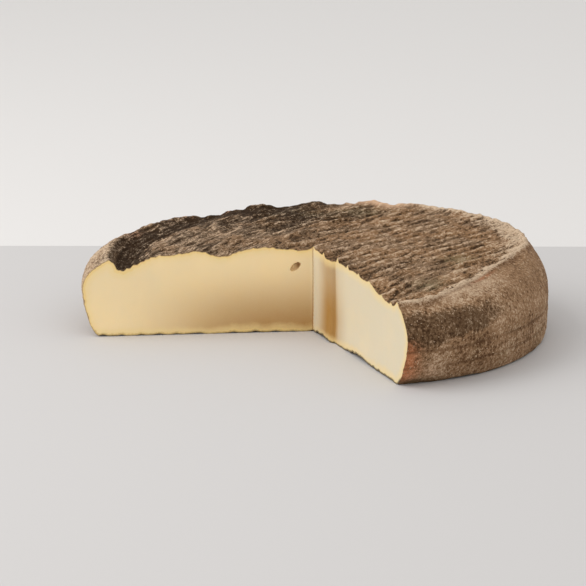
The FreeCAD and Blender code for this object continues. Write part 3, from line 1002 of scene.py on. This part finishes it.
def rind_finish(colours):
    """Dry wrinkled rind: brown, with dark mould in the creases, painted shade with it in the
    furrow, an underside darkened partly as painted shade, and pale dust on the ridges.
    """
    finish = Finish("washed_rind", colours)
    relief, side, under, fold, ripple, calm = finish.attributes(
        "relief", "side", "under", "fold", "ripple", "calm"
    )
    mould, dust, rust, moss, peach, groove = finish.attributes(
        "mould", "dust", "rust", "moss", "peach", "groove"
    )
    top = 1 - side
    streaks = finish.noise(0.0030, 4.0, 0.68, finish.coordinates(-50.0, (0.34, 1.0, 0.8)), 0.5)
    fibres = finish.noise(0.0013, 3.0, 0.65, finish.coordinates(-62.0, (0.36, 1.0, 0.8)), 0.7)
    flowing = finish.noise(0.0019, 4.0, 0.66, finish.coordinates(-66.0, (0.15, 1.0, 0.7)), 0.9)
    upright = finish.noise(0.0011, 3.0, 0.6, finish.coordinates(0.0, (1.0, 1.0, 0.4)))
    blotches = finish.noise(0.015, 3.0, 0.55)
    flecks = finish.noise(0.0014, 3.0, 0.65)
    grain = finish.noise(0.0006, 2.0, 0.6)

    # Tone runs from the dark of the creases at 0 to the pale of the ridges at 1.
    right_top = (streaks - 0.5) * 1.7 + (fibres - 0.5) * 1.6 + (flecks - 0.5) * 1.1
    left_top = (flowing - 0.5) * 2.0 + (fibres - 0.5) * 1.5 + (flecks - 0.5) * 1.2
    on_top = right_top * (1 - fold) + left_top * fold + relief * (0.30 - fold * 0.06)
    on_side = (flecks - 0.5) * 1.8 + (upright - 0.5) * 1.1 + (blotches - 0.5) * 1.1 + relief * 0.22
    tone = (on_top * top + on_side * side + (grain - 0.5) * 1.0) * (1 - calm * 0.5) + 0.5
    greyed = (blotches.ramp(0.42, 0.60) * 0.6 + fold * 0.45).clamped() * top
    middle = finish.coats(finish.mix(side, "brown", "side"), (greyed, "grey"))
    colour = finish.mix(tone.ramp(0.05, 0.55), finish.mix(side, "dark", "side_dark"), middle)
    colour = finish.mix(tone.ramp(0.52, 1.05), colour, finish.mix(side, "pale", "side_pale"))

    mossy = (moss + (flecks - 0.5) * 1.5 + (streaks - 0.5) * 1.0).ramp(0.25, 1.0)
    # In the furrow, darker in the ripples' troughs; this dark is partly mould, partly painted
    # shade.
    deep = mould + (tone - 0.5) * -0.70 + (blotches - 0.5) * 0.6 - ripple * 0.75
    dusty = (dust + (tone - 0.5) * 1.15 + (grain - 0.5) * 0.9).ramp(0.22, 1.10)
    rusty = (rust + (tone - 0.5) * 0.5 + (blotches - 0.5) * 0.5).ramp(0.2, 1.05)
    colour = finish.coats(
        colour,
        (mossy * 0.55, "moss"),
        (deep.ramp(0.15, 1.05) * (0.93 - side * 0.33), "black"),
        (dusty * 0.78, "dust"),
        (peach * 0.75, "peach"),
        (rusty * 0.64, "rust"),
        ((groove * 0.55).clamped(), "side_dark"),
        # Underneath: the rind's own darker colour, partly painted shade.
        (under * 0.75, "underside"),
    )
    height = flecks * 0.6 + fibres * top * 1.1 + streaks * top * 0.8 + grain * 0.4
    height = height + flowing * top * fold * 1.2 + upright * side * 0.3
    return finish.surface(
        Base_Color=colour,
        Roughness=(flecks * 0.2 + 0.68).clamped(),
        Normal=finish.bump(height, 0.0008, 0.7),
        Specular_IOR_Level=0.06,
        Sheen_Weight=0.04,
        Sheen_Roughness=0.55,
        Sheen_Tint=finish.tint("pale"),
    )


def paste_finish(colours):
    """The cut paste: pale in the middle, yellower under the rind, with a thin rind line, painted
    shade in its darker stretches, in the eye, in the apex corner and along the foot, and the first
    cut painted warmer as bounce light.
    """
    finish = Finish("cut_paste", colours)
    depth, painted_shade, on_first_cut, hole, apex, foot = finish.attributes(
        "from_rind", "painted_shade", "on_first_cut", "hole", "apex", "foot"
    )
    cloud = finish.noise(0.022, 3.0, 0.55)
    drag = finish.noise(0.0025, 3.0, 0.6, finish.coordinates(0.0, (1.0, 1.0, 0.15)))
    grain = finish.noise(0.0006, 2.0, 0.5)
    edge = finish.noise(0.0011, 2.0, 0.6)
    ragged = depth + (edge - 0.5) * 1.1
    line = 1 - (depth + (edge - 0.5) * 0.7).ramp(0.10, 0.40)
    # The rind's own thin line along the foot, widened as painted shade under the lifted edge.
    foot_rind_and_shade = (1 - (depth + (edge - 0.5) * 1.2).ramp(0.45, 1.1)) * foot * (1 - on_first_cut * 0.6)
    # Painted shade in the corner where the two cuts meet.
    apex_shade = 1 - (apex + (edge - 0.5) * 0.3).ramp(0.15, 0.5)
    band = 1 - (ragged + (cloud - 0.5) * 5.0).ramp(1.2, 4.4)
    close = 1 - (ragged + (cloud - 0.5) * 2.5).ramp(0.6, 1.7)
    colour = finish.coats(
        # Painted bounce light: the first cut mixed towards a warmer paste than the second.
        finish.mix((on_first_cut * 0.85 + (cloud - 0.5) * 0.8).clamped(), "paste", "butter"),
        # Painted shade: the darker stretches of both cuts.
        ((painted_shade + (cloud - 0.5) * 0.3 * painted_shade).clamped(), "oily"),
        (band * 0.55, "under_rind"),
        # The yellow band is weaker on the second cut, which is left paler as a painted highlight.
        (close * (on_first_cut * 0.35 + 0.35), "band"),
        (line * 0.7, "rind_line"),
        (foot_rind_and_shade * 0.85, "underside"),
        (apex_shade * 0.6, "hole"),
        (hole * 0.8, "hole"),
        ((grain - 0.35).clamped() * 0.12, "under_rind"),
    )
    return finish.surface(
        Base_Color=colour,
        Roughness=(grain * 0.15 + 0.40).clamped(),
        Normal=finish.bump(drag * 0.5 + grain * 0.25, 0.00018, 0.6),
        Subsurface_Weight=0.10,
        Subsurface_Radius=(1.0, 0.6, 0.3),
        Subsurface_Scale=0.003,
        Specular_IOR_Level=0.40,
    )


def bloom_finish(colours):
    """Dry bloom: pale tan flecks, darker where the mould is thick, which in the furrow is partly
    painted shade.
    """
    finish = Finish("dry_bloom", colours)
    tint, mould, side = finish.attributes("tint", "mould", "side")
    grain = finish.noise(0.0004, 2.0, 0.6)
    colour = finish.coats(
        finish.mix((tint + (grain - 0.5) * 0.7).clamped(), "brown", "fleck"),
        (mould.ramp(0.2, 1.3) * (0.75 - side * 0.35), "dark"),
    )
    normal = finish.bump(grain, 0.0002, 0.5)
    return finish.surface(Base_Color=colour, Roughness=0.85, Normal=normal, Specular_IOR_Level=0.06)


# ---------------------------------------------------------------- flecks over the rind


def fleck_tree(finish):
    """Flat flecks strewn over a surface, thicker where its bloom is, as one mesh."""
    tree = bpy.data.node_groups.new(FLECKS, "GeometryNodeTree")
    inputs = {"Surface": "Geometry", "Seed": "Int"}
    inputs.update(dict.fromkeys(("Density", "Length", "Width", "Height"), "Float"))
    for name, kind in inputs.items():
        tree.interface.new_socket(name, in_out="INPUT", socket_type="NodeSocket" + kind)
    tree.interface.new_socket("Flecks", in_out="OUTPUT", socket_type="NodeSocketGeometry")
    wiring = Wiring(tree)
    given = wiring.node("NodeGroupInput")
    surface, seed, density, long, wide, high = (given.output(name) for name in inputs)

    def drawn(least, most, draw):
        inputs = {"Min": least, "Max": most, "Seed": seed + draw}
        return wiring.node("FunctionNodeRandomValue", {"data_type": "FLOAT"}, inputs, "Value")

    named = "GeometryNodeInputNamedAttribute"
    bloom = wiring.node(named, {"data_type": "FLOAT"}, {"Name": "bloom"}, "Attribute")
    inputs = {"Mesh": surface, "Density": bloom * density, "Seed": seed}
    points = wiring.node("GeometryNodeDistributePointsOnFaces", None, inputs, "Points")
    upright = points.output("Rotation")
    spin = wiring.node("ShaderNodeCombineXYZ", None, {"Z": drawn(0.0, 2.0 * math.pi, 1)})
    spin = wiring.node("FunctionNodeEulerToRotation", None, {"Euler": spin})
    inputs = {"Rotation": upright, "Rotate By": spin}
    turned = wiring.node("FunctionNodeRotateRotation", {"rotation_space": "LOCAL"}, inputs)
    shape = wiring.node("ShaderNodeCombineXYZ", None, {"X": long, "Y": wide, "Z": high})
    inputs = {0: shape, "Scale": drawn(0.45, 1.25, 2)}
    shape = wiring.node("ShaderNodeVectorMath", {"operation": "SCALE"}, inputs)
    ball = wiring.node("GeometryNodeMeshIcoSphere", None, {"Radius": 0.5, "Subdivisions": 1})
    inputs = {"Points": points, "Instance": ball, "Rotation": turned, "Scale": shape}
    flecks = wiring.node("GeometryNodeInstanceOnPoints", None, inputs)
    settings = {"data_type": "FLOAT", "domain": "INSTANCE"}
    inputs = {"Geometry": flecks, "Name": "tint", "Value": drawn(0.0, 1.0, 3)}
    flecks = wiring.node("GeometryNodeStoreNamedAttribute", settings, inputs)
    flecks = wiring.node("GeometryNodeRealizeInstances", None, {"Geometry": flecks})
    flecks = wiring.node("GeometryNodeSetShadeSmooth", None, {"Geometry": flecks})
    inputs = {"Geometry": flecks, "Material": finish}
    flecks = wiring.node("GeometryNodeSetMaterial", None, inputs)
    wiring.node("NodeGroupOutput", None, {0: flecks})
    return tree


# ---------------------------------------------------------------- settings


def srgb(*levels):
    """A colour written as a painter would read it, as the linear values Blender keeps."""
    linear = []
    for level in levels:
        share = level / 255.0
        linear.append(share / 12.92 if share <= 0.04045 else ((share + 0.055) / 1.055) ** 2.4)
    return linear


def number(name, meaning, default, **more):
    return bpy.props.FloatProperty(name=name, description=meaning, default=default, **more)


def length(name, meaning, default):
    return number(name, meaning, default, precision=5, subtype="DISTANCE", unit="LENGTH")


def seed(meaning, default):
    return bpy.props.IntProperty(name="Seed", description=meaning, default=default)


def colour(name, meaning, *levels):
    return bpy.props.FloatVectorProperty(
        name=name, description=meaning, default=srgb(*levels), subtype="COLOR", min=0.0, max=1.0
    )


class CheeseSizes(bpy.types.PropertyGroup):
    """Sizes of the rind's relief and of the mesh."""

    mat_pitch: length("Mat pitch", "From one line of the drying mat to the next", 0.00575)
    mat_depth: length("Mat depth", "Height of the lines that the mat left", 0.00115)
    mat_azimuth: number("Mat direction", "Azimuth of the mat's lines in degrees", 47.0)
    crease_depth: length("Crease depth", "Depth of the creases along the mat's lines", 0.00034)
    wrinkle_depth: length("Wrinkle depth", "Depth of the side's upright wrinkles", 0.00012)
    top_pitch: length("Top spacing", "Distance between the top's vertices", 0.00076)
    side_pitch: length("Side spacing", "Distance between the side's vertices", 0.00080)
    under_pitch: length("Underside spacing", "Distance between the underside's vertices", 0.0024)
    cut_pitch: length("Cut spacing", "Distance between the cut faces' vertices", 0.0011)
    seed: seed("Draw of the relief", 11)


class CheeseColours(bpy.types.PropertyGroup):
    """Colours of the rind and the paste."""

    brown: colour("Brown", "Most of the top", 142, 108, 76)
    grey: colour("Grey", "Greyer patches of the top", 120, 99, 78)
    dark: colour("Dark", "Creases of the top", 66, 48, 31)
    pale: colour("Pale", "Ridges of the top", 192, 163, 133)
    side: colour("Side", "Most of the side", 145, 113, 83)
    side_dark: colour("Dark side", "Darker grains of the side", 88, 61, 40)
    side_pale: colour("Pale side", "Paler grains of the side", 178, 149, 120)
    moss: colour("Moss", "Greenish patches of the rind", 116, 109, 80)
    # Dark mould, made darker still as painted shade in the furrow.
    black: colour("Mould", "Dark mould", 40, 25, 10)
    dust: colour("Dust", "Pale dusty stretches of the rim", 212, 188, 160)
    peach: colour("Peach", "Pinkish patch of the back rim", 216, 178, 146)
    rust: colour("Rust", "Reddish stains", 198, 116, 72)
    fleck: colour("Fleck", "The palest flecks of dry bloom", 206, 180, 150)
    # The rind's own darker underside, partly painted shade; also the painted shade along the cuts'
    # foot.
    underside: colour("Underside", "The rind underneath", 78, 66, 42)
    paste: colour("Paste", "The middle of the second cut", 222, 209, 181)
    # Painted bounce light: the first cut's paste made warmer than the second's.
    butter: colour("Butter", "The warmer paste of the first cut", 249, 222, 170)
    # Painted shade: the darker paste of the cuts' shaded stretches.
    oily: colour("Oily", "Where the knife smeared the paste", 167, 121, 56)
    under_rind: colour("Under the rind", "The yellower paste towards the rind", 240, 213, 150)
    band: colour("Band", "The yellow band right under the rind", 238, 205, 132)
    rind_line: colour("Rind line", "The rind's own thin line at a cut", 118, 82, 46)
    # Painted shade: inside the eye and in the corner where the cuts meet.
    hole: colour("Hole", "The inside of the eye", 140, 88, 38)


class BloomSettings(bpy.types.PropertyGroup):
    """The flecks of dry bloom on the rind."""

    density: number("Density", "Flecks to a square metre of thick bloom", 190000.0)
    length: length("Fleck length", "Length of an average fleck", 0.00100)
    width: length("Fleck width", "Width of an average fleck", 0.00040)
    height: length("Fleck height", "Height of an average fleck", 0.00034)
    seed: seed("Draw of the flecks", 5)


class StageSettings(bpy.types.PropertyGroup):
    """Camera, floor, backdrop and lights."""

    camera_distance: length("Camera distance", "From the axis of the wheel", 1.5)
    camera_elevation: number("Camera elevation", "Above the floor, in degrees", 15.0)
    lens: number("Lens", "Focal length in millimetres on a 36 mm film", 202.73)
    backdrop_distance: length("Backdrop distance", "From the axis back to the backdrop", 0.165)
    floor: colour("Floor", "The floor", 200, 197, 195)
    backdrop: colour("Backdrop", "The paler sheet behind the floor", 222, 219, 216)
    key_power: number("Key light", "Watts", 6.0)
    fill_power: number("Fill light", "Watts", 1.5)
    sky: number("Sky", "Strength of the even light", 0.83)


# ---------------------------------------------------------------- operators


def placed(name, data):
    """A new object of the scene, unturned at the origin."""
    made = bpy.data.objects.new(name, data)
    bpy.context.scene.collection.objects.link(made)
    return made


class CHEESE_OT_wheel(bpy.types.Operator):
    """Builds the cut wheel over its solid"""

    bl_idname = "cheese.wheel"
    bl_label = "Cut wheel"

    def execute(self, context):
        scene = context.scene
        shape = WheelMesh(scene.cheese_sizes)
        shape.build()
        mesh = shape.to_mesh(WHEEL)
        mesh.materials.append(rind_finish(scene.cheese_colours))
        mesh.materials.append(paste_finish(scene.cheese_colours))
        wheel = placed(WHEEL, mesh)
        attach(wheel, "root")
        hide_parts(NODE)
        return {"FINISHED"}


class CHEESE_OT_bloom(bpy.types.Operator):
    """Strews flecks of dry bloom over the rind"""

    bl_idname = "cheese.bloom"
    bl_label = "Dry bloom"

    def execute(self, context):
        scene = context.scene
        wheel = bpy.data.objects.get(WHEEL)
        if wheel is None:
            raise RuntimeError("the wheel has to be built before its bloom")
        flecks = placed(FLECKS, wheel.data)
        tree = fleck_tree(bloom_finish(scene.cheese_colours))
        modifier = flecks.modifiers.new("bloom", "NODES")
        modifier.node_group = tree
        for socket in tree.interface.items_tree:
            name = socket.name.lower()
            if socket.in_out == "INPUT" and name in BloomSettings.__annotations__:
                modifier[socket.identifier] = getattr(scene.cheese_bloom, name)
        strewn = flecks.evaluated_get(context.evaluated_depsgraph_get())
        mesh = bpy.data.meshes.new_from_object(strewn)
        flecks.modifiers.remove(modifier)
        flecks.data = mesh
        for index in reversed(range(len(mesh.materials))):
            if mesh.materials[index] is None:
                mesh.materials.pop(index=index)
        if not mesh.polygons:
            raise RuntimeError("no flecks were strewn")
        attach(flecks, "root")
        return {"FINISHED"}


def aimed(holder, place, aim):
    """Stands a lamp or a camera at a place and turns it towards another."""
    holder.location = place
    holder.rotation_euler = (Vector(aim) - Vector(place)).to_track_quat("-Z", "Y").to_euler()


def flat_panel(name, settings, near, far):
    """A level sheet of the stage, in the colour that the settings give under its name."""
    finish = Finish(name, settings)
    left, right = -STAGE_REACH, STAGE_REACH
    corners = [(left, near, 0), (right, near, 0), (right, far, 0), (left, far, 0)]
    mesh = bpy.data.meshes.new(name)
    mesh.from_pydata(corners, [], [(0, 1, 2, 3)])
    mesh.materials.append(finish.surface(Base_Color=finish.tint(name), Roughness=0.8))
    panel = placed(name, mesh)


def soft_box(name, place, size, power):
    """A wide lamp that shines on the wheel."""
    lamp = bpy.data.lights.new(name, "AREA")
    lamp.shape = "RECTANGLE"
    lamp.size, lamp.size_y = size
    lamp.energy = power
    aimed(placed(name, lamp), place, LIGHT_AIM)


class CHEESE_OT_stage(bpy.types.Operator):
    """Builds the floor, the backdrop, the lights and the camera"""

    bl_idname = "cheese.stage"
    bl_label = "Stage"

    def execute(self, context):
        scene = context.scene
        settings = scene.cheese_stage
        axis = Solid(frame["nodes"][NODE]).axis
        back = axis[1] + settings.backdrop_distance
        flat_panel("floor", settings, -STAGE_REACH, back)
        flat_panel("backdrop", settings, back, 1.5 * STAGE_REACH)
        soft_box("key", (-0.80, -0.16, 0.80), (0.9, 0.9), settings.key_power)
        soft_box("fill", (0.4, -1.1, 0.7), (1.2, 0.8), settings.fill_power)
        world = bpy.data.worlds.new("studio")
        world.use_nodes = True
        sky = world.node_tree.nodes["Background"]
        sky.inputs["Color"].default_value = (1.0, 1.0, 1.0, 1.0)
        sky.inputs["Strength"].default_value = settings.sky
        scene.world = world
        scene.view_settings.view_transform = "Standard"
        self.add_camera(scene, settings, Vector((*axis, 0.0)))
        return {"FINISHED"}

    def add_camera(self, scene, settings, middle):
        camera = bpy.data.cameras.new("camera")
        camera.lens = settings.lens
        camera.clip_start = 0.05
        camera.clip_end = 20.0
        holder = placed("camera", camera)
        tilt = math.radians(settings.camera_elevation)
        away = Vector((0.0, -math.cos(tilt), math.sin(tilt)))
        place = middle + settings.camera_distance * away
        aimed(holder, place, middle + Vector(CAMERA_AIM))
        scene.camera = holder


class CHEESE_PT_panel(bpy.types.Panel):
    """Lists the pieces and their settings"""

    bl_label = "Cheese"
    bl_idname = "CHEESE_PT_panel"
    bl_space_type = "VIEW_3D"
    bl_region_type = "UI"
    bl_category = "Cheese"

    def draw(self, context):
        for operator, group in (
            ("cheese.wheel", "cheese_sizes"),
            ("cheese.wheel", "cheese_colours"),
            ("cheese.bloom", "cheese_bloom"),
            ("cheese.stage", "cheese_stage"),
        ):
            box = self.layout.box()
            box.operator(operator)
            for name in SETTINGS[group].__annotations__:
                box.prop(getattr(context.scene, group), name)


SETTINGS = {
    "cheese_sizes": CheeseSizes,
    "cheese_colours": CheeseColours,
    "cheese_bloom": BloomSettings,
    "cheese_stage": StageSettings,
}
OPERATORS = (CHEESE_OT_wheel, CHEESE_OT_bloom, CHEESE_OT_stage)
CLASSES = (*SETTINGS.values(), *OPERATORS, CHEESE_PT_panel)


def register():
    for made in CLASSES:
        bpy.utils.register_class(made)
    for name, group in SETTINGS.items():
        setattr(bpy.types.Scene, name, bpy.props.PointerProperty(type=group))


def unregister():
    for name in SETTINGS:
        delattr(bpy.types.Scene, name)
    for made in reversed(CLASSES):
        bpy.utils.unregister_class(made)


def main():
    register()
    bpy.ops.cheese.stage()
    bpy.ops.cheese.wheel()
    bpy.ops.cheese.bloom()


if __name__ == "__main__":
    main()
